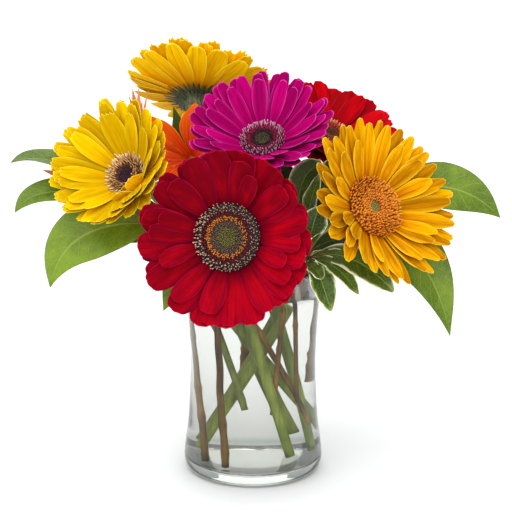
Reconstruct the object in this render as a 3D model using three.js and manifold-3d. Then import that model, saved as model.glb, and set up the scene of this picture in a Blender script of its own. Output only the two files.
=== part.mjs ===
// A hand-tied bunch of gerberas in a clear glass vase: six gerberas, a spray of orange
// alstroemeria, salal branches with large leaves and two sprigs of variegated pittosporum,
// all standing in water. Millimetres, +Z up, the origin at the middle of the vase's underside,
// and the front of the bunch looks along -Y.
import * as THREE from "three";
import { mergeVertices } from "three/addons/utils/BufferGeometryUtils.js";
import Module from "manifold-3d";

const wasm = await Module();
wasm.setup();

// ---- Driving dimensions ----
const gap = 0.35; // between pieces that touch on the real bunch

const vase = {
  height: 157,
  footRadius: 44.5, // of the flat underside
  heelRadius: 51.3, // widest, just above the underside
  waistRadius: 46.4,
  rimRadius: 51.7,
  wall: 3,
  floor: 8,
  sides: 24,
};
const waterLevel = 137;
const neckHeight = 143; // stems are straight up to here, just over the water

const bladeThickness = 1; // of petals and small leaves, at their midrib
const petalLean = 0.13; // each petal tilts, in radians, so that it overlaps the next like a fan
const washerThickness = 3.4; // the flat base that a gerbera's petals grow from
const calyxDepth = 19;
const holeRoom = 0.6; // between a stem and the hole that it stands in

// ---- Vector shorthands ----
const vec = (x, y, z) => new THREE.Vector3(x, y, z);
const point = (list) => new THREE.Vector3(...list);

// A repeatable random draw: each call gives the next number from 0 to 1.
function drawFrom(seed) {
  let state = seed;
  return () => (state = (state * 16807) % 2147483647) / 2147483647;
}

// ---- Solids ----
function toSolid(geometry) {
  const bare = new THREE.BufferGeometry()
    .setAttribute("position", geometry.getAttribute("position").clone())
    .setIndex(geometry.index);
  const merged = mergeVertices(bare, 1e-3);
  const index = merged.index.array;
  const kept = [];
  for (let i = 0; i < index.length; i += 3) {
    const [a, b, c] = [index[i], index[i + 1], index[i + 2]];
    if (a !== b && b !== c && c !== a) kept.push(a, b, c);
  }
  return new wasm.Manifold(
    new wasm.Mesh({
      numProp: 3,
      vertProperties: merged.attributes.position.array,
      triVerts: new Uint32Array(kept),
    }),
  );
}

function toGeometry(solid) {
  const mesh = solid.getMesh();
  return new THREE.BufferGeometry()
    .setAttribute("position", new THREE.BufferAttribute(mesh.vertProperties, 3))
    .setIndex(new THREE.BufferAttribute(mesh.triVerts, 1));
}

// Joins geometries that overlap into one closed solid.
function weld(geometries) {
  return geometries.map(toSolid).reduce((whole, next) => whole.add(next));
}

// ---- Shapes ----
// A closed blade with sharp edges: place(x, s) gives the middle surface, with x from -1 to 1
// across it and s from 0 at the root to 1 at the tip. Both faces are split into triangles alike.
function blade(place, across, stops, thickness) {
  const rows = stops.length - 1;
  const face = new THREE.PlaneGeometry(2, rows, across, rows);
  const grid = face.attributes.position;
  const spots = [];
  for (let i = 0; i < grid.count; i++) {
    const x = grid.getX(i);
    const row = Math.round(rows / 2 - grid.getY(i));
    const s = stops[row];
    const here = place(x, s);
    const sideways = place(Math.min(x + 0.05, 1), s).sub(place(Math.max(x - 0.05, -1), s));
    const along = place(x, Math.min(s + 0.05, 1)).sub(place(x, Math.max(s - 0.05, 0)));
    const up = sideways.cross(along).normalize();
    const inside = row > 0 && row < rows ? 1 - x * x : 0;
    spots.push({ here, up: up.multiplyScalar((thickness / 2) * Math.sqrt(inside)) });
  }
  const positions = [];
  const index = [];
  for (const { here, up } of spots) positions.push(here.x + up.x, here.y + up.y, here.z + up.z);
  for (const { here, up } of spots) positions.push(here.x - up.x, here.y - up.y, here.z - up.z);
  const source = face.index.array;
  for (let i = 0; i < source.length; i += 3) {
    const [a, b, c] = [source[i], source[i + 1], source[i + 2]];
    index.push(a, c, b);
    index.push(a + grid.count, b + grid.count, c + grid.count);
  }
  return new THREE.BufferGeometry()
    .setAttribute("position", new THREE.Float32BufferAttribute(positions, 3))
    .setIndex(index);
}

// The frames that a tube's rings stand in: each turns no more than the rail does.
function railFrames(rail) {
  const frames = [];
  let side = vec(1, 0, 0);
  rail.forEach((here, i) => {
    const before = rail[Math.max(i - 1, 0)];
    const after = rail[Math.min(i + 1, rail.length - 1)];
    const along = after.clone().sub(before).normalize();
    side = side.clone().addScaledVector(along, -side.dot(along)).normalize();
    frames.push({ here, side, up: along.clone().cross(side) });
  });
  return frames;
}

// A closed tube with a ring at each point of its rail.
function tube(rail, radius, sides) {
  const rows = rail.length - 1;
  const shell = new THREE.CylinderGeometry(1, 1, rows, sides, rows);
  const spots = shell.attributes.position;
  const frames = railFrames(rail);
  for (let i = 0; i < spots.count; i++) {
    const row = Math.round(spots.getY(i) + rows / 2);
    const { here, side, up } = frames[row];
    const r = typeof radius === "function" ? radius(row / rows) : radius;
    const at = here.clone();
    at.addScaledVector(side, spots.getZ(i) * r).addScaledVector(up, spots.getX(i) * r);
    spots.setXYZ(i, at.x, at.y, at.z);
  }
  return shell;
}

// Points along a smooth curve through the given ones.
function smoothRail(points, rows) {
  return new THREE.CatmullRomCurve3(points, false, "centripetal").getSpacedPoints(rows);
}

function lathe(profile, sides) {
  const outline = profile.map(([r, z]) => new THREE.Vector2(r, z));
  return new THREE.LatheGeometry(outline, sides).rotateX(Math.PI / 2);
}

// ---- Vase and water ----
// The outside from the underside to the rim: rounded heel, waist and flared mouth.
const vaseOutside = [
  [vase.footRadius, 0],
  [vase.heelRadius - 2, 3.5],
  [vase.heelRadius, 11],
  [vase.heelRadius - 1.4, 24],
  [48.2, 38],
  [vase.waistRadius + 0.4, 62],
  [vase.waistRadius, 86],
  [47.5, 110],
  [49.3, 134],
  [vase.rimRadius, vase.height - 1.5],
];
// The inside, from the floor's middle up to just under the rim.
const vaseInside = [
  [0, vase.floor],
  [vase.heelRadius - 8, vase.floor],
  [vase.heelRadius - 4.2, vase.floor + 4],
  ...vaseOutside.slice(3, -1).map(([r, z]) => [r - vase.wall, z]),
  [vase.rimRadius - vase.wall, vase.height - 1.5],
];

function glassVase() {
  const profile = [
    [0, 0],
    ...vaseOutside,
    [vase.rimRadius - vase.wall / 2, vase.height],
    ...vaseInside.slice().reverse(),
  ];
  return lathe(profile, vase.sides);
}

function waterBody(holes) {
  const wall = vaseInside.filter(([, z]) => z < waterLevel);
  const [last, next] = [wall.at(-1), vaseInside[wall.length]];
  const share = (waterLevel - last[1]) / (next[1] - last[1]);
  const shore = [last[0] + (next[0] - last[0]) * share, waterLevel];
  const profile = [...wall, shore].map(([r, z], i) => [
    Math.max(r - gap, 0),
    i < 2 ? z + gap : z,
  ]);
  profile.push([0, waterLevel]);
  const filled = toSolid(lathe(profile, vase.sides));
  return holes.reduce((water, hole) => water.subtract(toSolid(hole)), filled);
}

// ---- Stems ----
// Every stem stands straight from its foot to its neck, then bends to its head. A foot is [x, y, z],
// and a neck is [x, y] at the neck height.
const stems = {
  redFront: { radius: 3.4, foot: [24, -22, 16], neck: [-8, -27] },
  yellowLeft: { radius: 3.2, foot: [37, 10, 26], neck: [-25, 3] },
  amberTop: { radius: 3.3, foot: [16, 32, 18], neck: [-14, 30] },
  magenta: { radius: 3.2, foot: [36, -4, 14], neck: [8, 0] },
  redBack: { radius: 3.1, foot: [-24, 20, 14], neck: [20, 18] },
  goldRight: { radius: 3.3, foot: [-32, -4, 16], neck: [28, -11] },
  alstroemeria: { radius: 2.2, foot: [-5, -19, 52], neck: [-28, 12] },
  salalLeft: { radius: 2.8, foot: [-30, -15, 9.5], neck: [-39, 4] },
  salalLow: { radius: 2.6, foot: [-18, -27, 9.5], neck: [-25, -31] },
  salalFront: { radius: 1.9, foot: [38, -16, 38], neck: [-11, -15] },
  salalRight: { radius: 3.6, foot: [31, 6, 66], neck: [38, 6] },
  salalBack: { radius: 3.2, foot: [-4, 26, 64], neck: [0, 22] },
  pittosporumLow: { radius: 1.8, foot: [29, -21, 58], neck: [28, -29] },
  pittosporumHigh: { radius: 1.7, foot: [12, -18, 48], neck: [20, -21] },
};
const stemSides = 6;

// The straight stretch of a stem: its two ends and its direction.
function straightStretch(name) {
  const start = point(stems[name].foot);
  const bend = vec(...stems[name].neck, neckHeight);
  return { start, bend, along: bend.clone().sub(start).normalize() };
}

// From the foot to the head, and down to `thinTo` of its radius where it thins.
function stemTube(name, upper, rows, thinTo = 1) {
  const { start, bend, along } = straightStretch(name);
  const aboveBend = bend.clone().addScaledVector(along, 6);
  const rail = [start, ...smoothRail([bend, aboveBend, ...upper], rows)];
  const thinning = (s) => (1 - thinTo) * Math.max(0, (s - 0.2) / 0.8);
  return tube(rail, (s) => stems[name].radius * (1 - thinning(s)), stemSides);
}

function stemHole(name) {
  const { start, bend, along } = straightStretch(name);
  const bottom = start.clone().addScaledVector(along, -holeRoom);
  return tube([bottom, bend], stems[name].radius + holeRoom, stemSides);
}

// ---- Gerberas ----
// centre is the middle of the petals' base, facing the way the flower looks. Each ring of petals
// has a count, length, width in mm, and its cup, the angle in degrees that it rises at, and curl,
// the angle that it bends by on the way out. With longer, the petals on that side of the head, an
// angle from the right, are longer by the share, and those across from it shorter.
const gerberas = {
  redFront: {
    centre: [-17, -79.5, 196.6],
    facing: [-0.25, -0.94, 0.24],
    eyeRadius: 23.5,
    rings: [
      { count: 16, length: 43, width: 19, cup: 10, curl: 4 },
      { count: 11, length: 33, width: 16, cup: 18, curl: 6 },
    ],
    colour: "#c0061a",
    eyeColour: "#4a2c22",
    longer: { side: 3.9, share: 0.03 },
    via: [[-12, -40, 172]],
    seed: 11,
  },
  yellowLeft: {
    centre: [-89.2, -14.4, 225.2],
    facing: [-0.47, -0.72, 0.52],
    eyeRadius: 15,
    rings: [
      { count: 16, length: 48, width: 15.5, cup: 37, curl: 5 },
      { count: 11, length: 42, width: 13.5, cup: 46, curl: 6 },
    ],
    colour: "#ffd400",
    eyeColour: "#c98a4a",
    via: [[-56, -6, 190]],
    seed: 23,
  },
  amberTop: {
    centre: [-40, 52.5, 272],
    facing: [0.12, 0.64, 0.76],
    eyeRadius: 15,
    rings: [
      { count: 16, length: 48, width: 16.5, cup: 12, curl: 8 },
      { count: 11, length: 44, width: 14.5, cup: 22, curl: 8 },
    ],
    colour: "#e9a400",
    eyeColour: "#b97a30",
    via: [[-30, 36, 205]],
    seed: 37,
  },
  magenta: {
    centre: [7, -19.5, 251.6],
    facing: [-0.12, -0.57, 0.81],
    eyeRadius: 15,
    rings: [
      { count: 16, length: 44, width: 14.5, cup: 27, curl: 5 },
      { count: 12, length: 36, width: 12, cup: 37, curl: 6 },
    ],
    colour: "#c4007f",
    eyeColour: "#6a3040",
    via: [[8, -3, 205]],
    seed: 41,
  },
  redBack: {
    centre: [56, 32, 244.5],
    facing: [0.38, -0.36, 0.85],
    eyeRadius: 16,
    rings: [
      { count: 16, length: 44, width: 16.5, cup: 16, curl: 6 },
      { count: 8, length: 36, width: 15, cup: 28, curl: 8 },
    ],
    colour: "#d00a1e",
    eyeColour: "#d8702c",
    longer: { side: -0.73, share: 0.08 },
    via: [[34, 28, 195]],
    seed: 53,
  },
  goldRight: {
    centre: [84.5, -44, 209],
    facing: [0.55, -0.67, 0.5],
    eyeRadius: 21,
    rings: [
      { count: 16, length: 48, width: 15.5, cup: 22, curl: 5 },
      { count: 11, length: 36, width: 13.5, cup: 32, curl: 5 },
    ],
    colour: "#f5ae08",
    eyeColour: "#d9761a",
    via: [[52, -14, 186]],
    seed: 67,
  },
};

// Where a flower stands: +Z the way it faces, +Y up its face.
function headMatrix(flower) {
  const front = point(flower.facing).normalize();
  const right = vec(0, 0, 1).cross(front).normalize();
  const up = front.clone().cross(right);
  return new THREE.Matrix4().makeBasis(right, up, front).setPosition(point(flower.centre));
}

// Half the width of a petal, as a share of its widest: narrow root, full shoulder, round tip.
function petalOutline(s) {
  const shoulder = 0.76;
  const swell = 0.3 + 0.7 * Math.sin((Math.PI / 2) * Math.min(1, s / 0.7));
  const past = Math.max(0, (s - shoulder) / (1 - shoulder));
  return swell * Math.sqrt(1 - 0.82 * past * past);
}

// One petal, rooted inside the base at the radius rootRadius and the height rootHeight.
function petal({ angle, length, width, cup, curl, twist, rootRadius, rootHeight, stops }) {
  const [rise, bend] = [THREE.MathUtils.degToRad(cup), THREE.MathUtils.degToRad(curl)];
  const place = (x, s) => {
    const half = (width / 2) * petalOutline(s) * x;
    const out = length * (s * Math.cos(rise) - 0.5 * bend * s * s * Math.sin(rise));
    const lift = length * (s * Math.sin(rise) + 0.5 * bend * s * s * Math.cos(rise));
    const tilt = petalLean + twist * s;
    const spot = vec(
      rootRadius + out,
      half * Math.cos(tilt),
      rootHeight + lift + half * Math.sin(tilt) - 0.02 * half * half,
    );
    return spot.applyAxisAngle(vec(0, 0, 1), angle);
  };
  return blade(place, 2, stops, bladeThickness);
}

const petalStops = [0, 0.4, 0.84, 1];

function petals(flower) {
  const draw = drawFrom(flower.seed);
  const base = flower.eyeRadius - 1;
  const longer = flower.longer ?? { side: 0, share: 0 };
  const parts = [
    lathe([[0, -washerThickness], [base - 2, -washerThickness], [base, -1], [base - 1.4, 0], [0, 0]], 14),
  ];
  flower.rings.forEach((ring, layer) => {
    for (let i = 0; i < ring.count; i++) {
      const step = (2 * Math.PI) / ring.count;
      const angle = step * (i + 0.5 * layer + 0.16 * (draw() - 0.5));
      const reach = 1 + longer.share * Math.cos(angle - longer.side);
      parts.push(
        petal({
          ...ring,
          angle,
          length: ring.length * reach * (0.95 + 0.1 * draw()),
          cup: ring.cup + 5 * (draw() - 0.5),
          twist: 0.16 * (draw() - 0.5),
          rootRadius: base - 3,
          rootHeight: layer ? -1.2 : -2.4,
          stops: petalStops,
        }),
      );
    }
  });
  return weld(parts);
}

// The eye: a low crown of florets round a dished middle, raised in bumps.
function eye(flower) {
  const sides = 16;
  const r = flower.eyeRadius;
  const rows = [
    [0, gap],
    [r - 4.5, gap],
    [r - 0.9, 3.4],
    [r - 1.6, 4.8],
    [r * 0.7, 4.9],
    [r * 0.4, 4.2],
    [0, 3.4],
  ];
  const crown = lathe(rows, sides);
  const spots = crown.attributes.position;
  for (let i = 0; i < spots.count; i++) {
    const row = i % rows.length;
    const spoke = Math.floor(i / rows.length) % sides;
    if (row < 2 || row === rows.length - 1) continue;
    const bump = (row + spoke) % 2 ? 0.7 : -0.5;
    spots.setZ(i, spots.getZ(i) + bump);
  }
  return toSolid(crown);
}

// The green cup behind the petals, with its pointed bracts raised round it, and the stem.
function calyxAndStem(name, flower) {
  const matrix = headMatrix(flower);
  const sides = 16;
  const top = Math.min(flower.eyeRadius - 3, 13);
  const { radius } = stems[name];
  const level = -washerThickness - gap;
  const rows = [
    [0, -calyxDepth],
    [radius + 0.4, -calyxDepth],
    [top * 0.72, -calyxDepth + 6],
    [top, -calyxDepth + 12],
    [top - 0.5, level],
    [0, level],
  ];
  const cup = lathe(rows, sides);
  const spots = cup.attributes.position;
  for (let i = 0; i < spots.count; i++) {
    const row = i % rows.length;
    const spoke = Math.floor(i / rows.length) % sides;
    if (row < 2 || row > 3) continue;
    const swell = (row + spoke) % 2 ? 1.07 : 0.93;
    spots.setXY(i, spots.getX(i) * swell, spots.getY(i) * swell);
  }
  cup.applyMatrix4(matrix);
  const back = (depth) => vec(0, 0, -depth).applyMatrix4(matrix);
  const upper = [...flower.via.map(point), back(calyxDepth + 9), back(calyxDepth - 4)];
  return weld([cup, stemTube(name, upper, 7)]);
}

// ---- Leaves and tepals ----
// Half the width of a leaf, as a share of its widest.
const outlines = {
  salal: (s) => Math.pow(Math.sin(Math.PI * Math.pow(s, 0.68)), 0.8),
  pittosporum: (s) => 0.12 + 0.88 * Math.pow(Math.sin(Math.PI * Math.pow(s * 0.94, 1.25)), 0.75),
  tepal: (s) => 0.3 + 0.7 * Math.sin(Math.PI * Math.min(1, Math.pow(s, 1.5) * 0.93)),
};

// A leaf along a curve of three points, base, middle control and tip. Its upper face looks
// towards `faces`, its halves fold up by `fold` degrees, and its edges wave by `wave` mm.
function leaf({ path, faces, width, fold = 14, wave = 0, waves = 3, roll = 0 }, kind, across, rows) {
  const spine = new THREE.QuadraticBezierCurve3(...path.map(point));
  const stops = Array.from({ length: rows + 1 }, (_, i) => i / rows);
  const look = point(faces).normalize();
  const rise = THREE.MathUtils.degToRad(fold);
  const place = (x, s) => {
    const along = spine.getTangent(s);
    const side = along.clone().cross(look).normalize();
    const up = side.clone().cross(along).applyAxisAngle(along, roll * s);
    side.applyAxisAngle(along, roll * s);
    const half = (width / 2) * outlines[kind](s) * x;
    const ripple = wave * x * x * Math.sin(s * Math.PI * 2 * waves + (x > 0 ? 0.9 : 2.6));
    return spine
      .getPoint(s)
      .addScaledVector(side, half * Math.cos(rise))
      .addScaledVector(up, Math.abs(half) * Math.sin(rise) + ripple);
  };
  return blade(place, across, stops, bladeThickness);
}

// A short stalk from the branch to just inside the leaf.
function stalk(from, path, radius) {
  const spine = new THREE.QuadraticBezierCurve3(...path.map(point));
  const inside = spine.getPoint(0.16);
  return tube([point(from), spine.getPoint(0), inside], (s) => radius * (1 - 0.5 * s), 5);
}

// Salal: woody branches, each with large leaves on short stalks.
const salal = {
  salalLeft: {
    rail: [[-52, 8, 178], [-74, 6, 200], [-98, 1, 214]],
    leaves: [
      {
        from: 2, path: [[-103, 10, 216], [-158, 16, 238], [-175, 1, 231]],
        faces: [0.1, -0.3, 0.95], width: 31, roll: 0.2,
      },
      {
        from: 2, path: [[-101, 4, 204], [-160, 0, 219], [-171, -15, 198]],
        faces: [0.05, -0.45, 0.85], width: 26, roll: -0.1,
      },
    ],
  },
  salalLow: {
    rail: [[-36, -36, 172], [-60, -30, 192]],
    leaves: [
      {
        from: 1, path: [[-72, -27, 193], [-138, -18, 194], [-145, -36, 148]],
        faces: [0.1, -0.86, 0.5], width: 45, roll: 0.1,
      },
      {
        from: 1, path: [[-62, -16, 190], [-84, -10, 190], [-106, -8, 180]],
        faces: [0, -0.7, 0.7], width: 29,
      },
    ],
  },
  salalFront: {
    rail: [[-23, -37, 166], [-30, -50, 170]],
    leaves: [
      {
        from: 1, path: [[-34, -54, 170], [-52, -58, 166], [-63, -61, 138]],
        faces: [-0.2, -0.95, 0.1], width: 26,
      },
    ],
  },
  salalRight: {
    rail: [[53, 8, 174], [82, 4, 194], [100, 4, 206]],
    leaves: [
      {
        from: 2, path: [[106, 4, 212], [153, 8, 220], [181, 10, 188]],
        faces: [-0.1, -0.9, 0.45], width: 36, roll: 0.05,
      },
      {
        from: 1, path: [[84, -12, 184], [128, -22, 178], [142, -34, 111]],
        faces: [0.35, -0.92, 0.3], width: 44, roll: -0.1,
      },
      {
        from: 0, path: [[50, 4, 181], [37, -4, 202], [30, -10, 230]],
        faces: [-0.1, -0.95, 0.3], width: 34,
      },
      {
        from: 0, path: [[49, 11, 181], [27, 12, 205], [18, 11, 236]],
        faces: [-0.1, -0.95, 0.3], width: 30,
      },
      {
        from: 0, path: [[57, 4, 182], [61, -2, 204], [58, -9, 232]],
        faces: [0.1, -0.95, 0.3], width: 34,
      },
      {
        from: 1, path: [[90, 12, 199], [112, 34, 212], [122, 52, 192]],
        faces: [0.5, 0.1, 0.85], width: 34,
      },
    ],
  },
  salalBack: {
    rail: [[4, 52, 178], [2, 66, 206]],
    leaves: [
      {
        from: 0, path: [[12, 60, 184], [52, 84, 204], [86, 96, 184]],
        faces: [0.2, 0.5, 0.9], width: 42,
      },
      {
        from: 0, path: [[-6, 60, 184], [-52, 80, 206], [-88, 88, 186]],
        faces: [-0.2, 0.5, 0.9], width: 42,
      },
      {
        from: 1, path: [[0, 72, 208], [-14, 108, 222], [-12, 124, 190]],
        faces: [0, 0.6, 0.8], width: 42,
      },
      {
        from: 1, path: [[4, 64, 214], [24, 74, 236], [38, 98, 236]],
        faces: [0.2, 0.3, 0.9], width: 36,
      },
    ],
  },
};

// Pittosporum: a thin branch that ends in a whorl of small waved leaves.
const pittosporum = {
  pittosporumLow: {
    rail: [[30, -32, 160], [38, -41, 171]],
    leaves: [
      {
        path: [[40, -43, 170], [47, -56, 166], [55, -54, 136]],
        faces: [0.4, -0.85, 0.3], width: 20, wave: 1,
      },
      {
        path: [[38, -45, 170], [42, -55, 169], [49, -60, 161]],
        faces: [0.2, -0.5, 0.8], width: 13, wave: 1,
      },
      {
        path: [[42, -43, 172], [58, -54, 174], [74, -60, 150]],
        faces: [0.1, -0.5, 0.8], width: 15, wave: 0.8,
      },
      {
        path: [[43, -41, 173], [72, -50, 182], [99, -54, 150]],
        faces: [0.1, -0.75, 0.6], width: 24, wave: 1,
      },
      {
        path: [[42, -38, 176], [60, -37, 190], [84, -33, 180]],
        faces: [0, -0.7, 0.7], width: 22, wave: 1,
      },
      {
        path: [[36, -46, 174], [36, -55, 184], [30, -57, 195]],
        faces: [0.1, -0.95, 0.3], width: 13, wave: 0.8,
      },
    ],
  },
  pittosporumHigh: {
    rail: [[30, -28, 168], [37, -34, 186]],
    leaves: [
      {
        path: [[40, -40, 187], [42, -53, 197], [46, -52, 212]],
        faces: [0.1, -0.95, 0.4], width: 20, wave: 1,
      },
      {
        path: [[37, -38, 191], [38, -46, 208], [47, -42, 232]],
        faces: [-0.6, -0.75, 0.25], width: 13, wave: 1,
      },
      {
        path: [[41, -31, 193], [47, -28, 221], [64, -20, 241]],
        faces: [0.1, -0.9, 0.4], width: 21, wave: 0.8,
      },
      {
        path: [[33, -31, 197], [29, -27, 229], [49, -25, 237]],
        faces: [0, -0.9, 0.45], width: 22, wave: 0.6,
      },
    ],
  },
};

function salalBranch(name) {
  const { rail, leaves } = salal[name];
  const { radius } = stems[name];
  const parts = [stemTube(name, rail.map(point), 6, 0.55)];
  for (const one of leaves) {
    parts.push(leaf(one, "salal", 4, 6), stalk(rail[one.from], one.path, radius * 0.5));
  }
  return weld(parts);
}

function pittosporumSprig(name) {
  const { rail, leaves } = pittosporum[name];
  const parts = [stemTube(name, rail.map(point), 6, 0.75)];
  for (const one of leaves) {
    parts.push(leaf(one, "pittosporum", 2, 6), stalk(rail.at(-1), one.path, 0.9));
  }
  return weld(parts);
}

// ---- Alstroemeria ----
// One stem ends in an umbel, and each bloom is a trumpet of six tepals on its own stalk.
const umbel = [-74, 18, 204];
const alstroemeriaRail = [[-44, 15, 172], umbel];
const blooms = [
  {
    name: "bloomRight",
    base: [-44, 16, 230],
    facing: [-0.35, -0.85, 0.38],
    turn: 1.36,
    spread: 44,
    slim: 1.2,
    lengths: [0.94, 1, 0.8, 0.7, 0.56, 0.56],
  },
  { name: "bloomLeft", base: [-113, 29, 208], facing: [-0.95, 0.1, 0.16], turn: 0.5, spread: 7, slim: 0.5 },
  { name: "bloomTop", base: [-82, 19, 241], facing: [-0.06, 0.02, 0.98], turn: 0.1, spread: -2, slim: 0.4 },
];
const tepalLength = 46;
const lanceLeaves = [
  {
    from: [-58, 17, 188], path: [[-59, 20, 192], [-47, 26, 232], [-58, 21, 269]],
    faces: [0.1, -0.9, 0.4], width: 22,
  },
  {
    from: [-66, 17, 196], path: [[-68, 21, 199], [-84, 36, 214], [-102, 48, 206]],
    faces: [-0.2, 0.3, 0.9], width: 12,
  },
];

// Six tepals lean out from the axis by `spread` degrees. `turn` rolls the whole, `slim` scales their
// widths, and `lengths` each tepal's share of the full length.
function trumpet(bloom) {
  const parts = [];
  for (let i = 0; i < 6; i++) {
    const outer = i % 2 === 0;
    const lean = THREE.MathUtils.degToRad(bloom.spread + (outer ? 4 : 0));
    const length = tepalLength * (outer ? 1 : 0.96) * (bloom.lengths ? bloom.lengths[i] : 1);
    const place = (x, s) => {
      const half = ((outer ? 19 : 13) / 2) * (bloom.slim ?? 1) * outlines.tepal(s) * x;
      const out = 1.6 + length * (s * Math.sin(lean) + 0.1 * s * s * s);
      const up = length * s * (Math.cos(lean) - 0.05 * s);
      const spot = vec(out - 0.03 * half * half, half, up);
      return spot.applyAxisAngle(vec(0, 0, 1), bloom.turn + (i * Math.PI) / 3);
    };
    parts.push(blade(place, 2, [0, 0.3, 0.6, 0.84, 1], bladeThickness));
  }
  parts.push(lathe([[0, 0], [2.2, 0], [3.6, 5], [3.2, 8], [0, 8]], 8));
  return weld(parts);
}

function alstroemeriaStem() {
  const top = point(umbel);
  const parts = [stemTube("alstroemeria", alstroemeriaRail.map(point), 8)];
  for (const one of lanceLeaves) {
    parts.push(leaf(one, "salal", 2, 4), stalk(one.from, one.path, 1));
  }
  for (const bloom of blooms) {
    const away = point(bloom.facing).normalize();
    const base = point(bloom.base);
    const rail = [top, base.clone().addScaledVector(away, -8), base.clone().addScaledVector(away, -2 * gap)];
    parts.push(tube(smoothRail(rail, 4), (s) => 1.2 + 1.4 * Math.max(0, s - 0.6), 6));
  }
  return weld(parts);
}

// ---- The bunch ----
const bunch = new THREE.Group();

function addMesh(name, solid, colour, roughness, extra = {}) {
  const material = new THREE.MeshStandardMaterial({ color: colour, roughness, metalness: 0, ...extra });
  const mesh = new THREE.Mesh(toGeometry(solid), material);
  mesh.name = name;
  bunch.add(mesh);
  return mesh;
}

const clear = { transparent: true, opacity: 0.3 };
addMesh("vase", toSolid(glassVase()), "#e6efec", 0.05, clear);
addMesh("water", waterBody(Object.keys(stems).map(stemHole)), "#eef4f2", 0.02, clear);

for (const [name, flower] of Object.entries(gerberas)) {
  const matrix = headMatrix(flower);
  addMesh(`${name}_petals`, petals(flower), flower.colour, 0.6).applyMatrix4(matrix);
  addMesh(`${name}_eye`, eye(flower), flower.eyeColour, 0.8).applyMatrix4(matrix);
  addMesh(`${name}_stem`, calyxAndStem(name, flower), "#7f9a4a", 0.65);
}

for (const name of Object.keys(salal)) {
  addMesh(name, salalBranch(name), "#5f7f3a", 0.5);
}
for (const name of Object.keys(pittosporum)) {
  addMesh(name, pittosporumSprig(name), "#6d8a45", 0.55);
}
addMesh("alstroemeria_stem", alstroemeriaStem(), "#86994c", 0.6);
for (const bloom of blooms) {
  addMesh(`alstroemeria_${bloom.name}`, trumpet(bloom), "#f2621a", 0.55).applyMatrix4(headMatrix({
    ...bloom,
    centre: bloom.base,
  }));
}

export default bunch;
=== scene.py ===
import math
import random

import bmesh
import bpy
from mathutils import Matrix, Quaternion, Vector, geometry, noise


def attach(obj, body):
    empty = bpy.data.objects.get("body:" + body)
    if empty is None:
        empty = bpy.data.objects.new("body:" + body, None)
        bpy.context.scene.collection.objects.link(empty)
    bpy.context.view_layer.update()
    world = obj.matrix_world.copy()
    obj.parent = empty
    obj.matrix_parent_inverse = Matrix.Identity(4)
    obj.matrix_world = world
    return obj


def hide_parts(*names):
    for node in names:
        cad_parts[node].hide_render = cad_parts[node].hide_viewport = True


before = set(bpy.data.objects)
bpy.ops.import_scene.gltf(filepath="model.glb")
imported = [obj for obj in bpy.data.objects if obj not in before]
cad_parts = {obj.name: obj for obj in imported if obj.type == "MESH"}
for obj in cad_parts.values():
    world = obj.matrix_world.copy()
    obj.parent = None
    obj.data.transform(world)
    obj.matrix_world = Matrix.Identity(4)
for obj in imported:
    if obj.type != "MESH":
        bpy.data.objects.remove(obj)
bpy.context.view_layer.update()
mm = 0.001  # lengths below are in millimetres, and a mesh is scaled once, when it is finished
noise.seed_set(25)  # so that noise_vector, which the crooks come from, is the same in every run
print("frame loaded:", len(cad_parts), "nodes")

# camera and light

view = {"place": (2.2, -1448.9, 550.2), "pitchDown": 15, "lens": 144.48, "sensor": 36}


def makeCamera():
    data = bpy.data.cameras.new("camera")
    data.lens = view["lens"]
    data.sensor_width = view["sensor"]
    data.clip_end = 50
    camera = bpy.data.objects.new("camera", data)
    camera.location = Vector(view["place"]) * mm
    camera.rotation_euler = (math.radians(90 - view["pitchDown"]), 0, 0)
    bpy.context.scene.collection.objects.link(camera)
    bpy.context.scene.camera = camera


studio = {
    "world": (0.96, 0.98, 1.0),
    "worldStrength": 0.5,
    "lamps": [
        # name, direction it comes from, strength, angle of softness in degrees
        ("key", (-0.3, -0.6, 1.0), 1.7, 75),
        ("fill", (0.3, -1.0, 0.3), 1.1, 60),
        ("top", (0.1, 0.1, 1.0), 1.1, 80),
        ("back", (0.0, 0.8, 0.7), 0.8, 60),
    ],
    "floorSize": 9000,
    "floorDrop": 0.2,  # so that the floor and the underside of the vase don't share a plane
}


def makeStudio():
    world = bpy.data.worlds.new("studio")
    bpy.context.scene.world = world
    world.use_nodes = True
    sky = world.node_tree.nodes["Background"]
    sky.inputs["Color"].default_value = (*studio["world"], 1)
    sky.inputs["Strength"].default_value = studio["worldStrength"]
    for name, direction, strength, softness in studio["lamps"]:
        data = bpy.data.lights.new(name, "SUN")
        data.energy = strength
        data.angle = math.radians(softness)
        lamp = bpy.data.objects.new(name, data)
        lamp.rotation_euler = Vector(direction).to_track_quat("Z", "Y").to_euler()
        bpy.context.scene.collection.objects.link(lamp)
    bpy.context.scene.view_settings.view_transform = "Standard"

    bm = bmesh.new()
    bmesh.ops.create_grid(bm, x_segments=2, y_segments=2, size=studio["floorSize"] * mm / 2)
    bmesh.ops.translate(bm, vec=(0, 0, -studio["floorDrop"] * mm), verts=bm.verts)
    mesh = bpy.data.meshes.new("floor")
    bm.to_mesh(mesh)
    bm.free()
    material, tree, shader = newMaterial("paleFloor", 0.7)
    paint = ramp(tree, speckle(tree, 3), [(0.3, (243, 244, 245)), (0.7, (248, 249, 250))])
    tree.links.new(paint, shader.inputs["Base Color"])
    mesh.materials.append(material)
    floor = bpy.data.objects.new("floor", mesh)
    bpy.context.scene.collection.objects.link(floor)


# helpers for materials

def tint(r, g, b):
    # a colour as the eye names it, 0 to 255, turned into the linear light that shaders use
    return tuple(((c / 255 + 0.055) / 1.055) ** 2.4 if c > 10 else c / 3294.6 for c in (r, g, b))


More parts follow.
